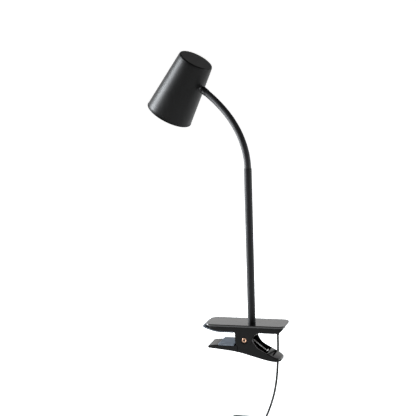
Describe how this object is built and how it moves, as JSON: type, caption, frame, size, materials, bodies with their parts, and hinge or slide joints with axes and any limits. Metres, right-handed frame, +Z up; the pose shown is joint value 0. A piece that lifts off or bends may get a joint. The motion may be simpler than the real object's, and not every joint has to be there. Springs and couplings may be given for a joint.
{
  "type": "clip-on reading lamp",
  "caption": "Sprung clamp with padded jaws, upright tube, flexible neck and a tilting cone shade with a built-in LED, on a thin cord with switch and adaptor",
  "frame": {"origin": "middle of the flat gripping face of the upper jaw's pad, which rests on the board", "axes": "+Z up along the tube, +X along the clamp towards its handles, +Y towards the side away from the viewer"},
  "size_m": [0.2111, 0.1168, 0.5794],
  "materials": {
    "black_gloss_abs": "glossy injection-moulded black ABS",
    "grey_rubber": "soft blue-grey anti-slip rubber",
    "copper_rivet": "coppered tubular rivet",
    "spring_steel": "bright spring wire",
    "natural_nylon": "natural nylon",
    "black_powder_coat": "satin black powder coat on steel",
    "zinc_steel": "zinc plated steel",
    "black_sleeve": "matt black PVC sleeve over a gooseneck",
    "black_cuff": "matt black nylon",
    "chrome": "bright chrome plated brass",
    "black_shade": "satin black powder coat on aluminium",
    "white_carrier": "die-cast aluminium, light grey",
    "white_board": "white solder mask",
    "led_phosphor": "yellow phosphor under clear silicone",
    "metallised": "vacuum metallised plastic",
    "opal_acrylic": "opal acrylic",
    "black_ring": "matt black ring",
    "black_cord_pvc": "black PVC cord",
    "black_switch": "fine textured black ABS",
    "nickel": "nickel plated brass"
  },
  "bodies": {
    "base": {"upper_jaw": "black_gloss_abs", "top_cover": "black_gloss_abs", "upper_jaw_pad": "grey_rubber", "hinge_rivet": "copper_rivet", "torsion_spring": "spring_steel", "arm_tube": "black_powder_coat", "tube_washer": "zinc_steel", "tube_nut": "zinc_steel", "cover_screws": "zinc_steel", "cord_boot": "black_cord_pvc", "cord_lead": "black_cord_pvc", "cord_middle": "black_cord_pvc", "cord_tail": "black_cord_pvc", "cord_coil": "black_cord_pvc", "switch_base": "black_switch", "switch_cover": "black_switch", "switch_screws": "zinc_steel", "plug_body": "black_switch", "plug_boot": "black_cord_pvc", "plug_pins": "nickel"},
    "lever": {"lower_jaw": "black_gloss_abs", "lower_jaw_pad": "grey_rubber", "spring_spool": "natural_nylon"},
    "neck_0": {"neck_link_0": "black_sleeve"},
    "neck_1": {"neck_link_1": "black_sleeve"},
    "neck_2": {"neck_link_2": "black_sleeve"},
    "neck_3": {"neck_link_3": "black_sleeve"},
    "neck_4": {"neck_link_4": "black_sleeve"},
    "neck_5": {"neck_link_5": "black_sleeve"},
    "head": {"neck_cuff": "black_cuff", "head_nipple": "chrome", "nipple_washer": "zinc_steel", "nipple_nut": "zinc_steel", "shade": "black_shade", "lamp_carrier": "white_carrier", "led_board": "white_board", "led_chip": "led_phosphor", "reflector": "metallised", "lens": "opal_acrylic", "retaining_ring": "black_ring"},
    "rocker": {"switch_rocker": "black_switch"}
  },
  "joints": [
    {"name": "clamp_lever", "type": "hinge", "parent": "base", "child": "lever", "pos_m": [0.0263, 0, -0.0097], "axis": [0, -1, 0], "range_deg": [-22, 33], "stiffness_Nm_per_rad": 0.8, "deforming": ["torsion_spring"]},
    {"name": "neck_swivel", "type": "hinge", "parent": "base", "child": "neck_0", "pos_m": [0.033, 0, 0.2335], "axis": [0, 0, 1], "range_deg": [-170, 170]},
    {"name": "neck_bend_1", "type": "hinge", "parent": "neck_0", "child": "neck_1", "pos_m": [0.03205, 0.00051, 0.24664], "axis": [-0.4695, -0.8829, 0], "range_deg": [-12, 22]},
    {"name": "neck_bend_2", "type": "hinge", "parent": "neck_1", "child": "neck_2", "pos_m": [0.02502, 0.00424, 0.27172], "axis": [-0.4695, -0.8829, 0], "range_deg": [-12, 22]},
    {"name": "neck_bend_3", "type": "hinge", "parent": "neck_2", "child": "neck_3", "pos_m": [0.0125, 0.0109, 0.29392], "axis": [-0.4695, -0.8829, 0], "range_deg": [-12, 22]},
    {"name": "neck_bend_4", "type": "hinge", "parent": "neck_3", "child": "neck_4", "pos_m": [-0.0038, 0.01957, 0.31273], "axis": [-0.4695, -0.8829, 0], "range_deg": [-12, 22]},
    {"name": "neck_bend_5", "type": "hinge", "parent": "neck_4", "child": "neck_5", "pos_m": [-0.02248, 0.0295, 0.3285], "axis": [-0.4695, -0.8829, 0], "range_deg": [-12, 22]},
    {"name": "head_swivel", "type": "hinge", "parent": "neck_5", "child": "head", "pos_m": [-0.03239, 0.03477, 0.33544], "axis": [-0.7608, 0.4045, 0.5075], "range_deg": [-80, 80]},
    {"name": "switch_rock", "type": "hinge", "parent": "base", "child": "rocker", "pos_m": [-0.0315, 0.0225, -0.1734], "axis": [0, -1, 0], "range_deg": [0, 12]}
  ]
}
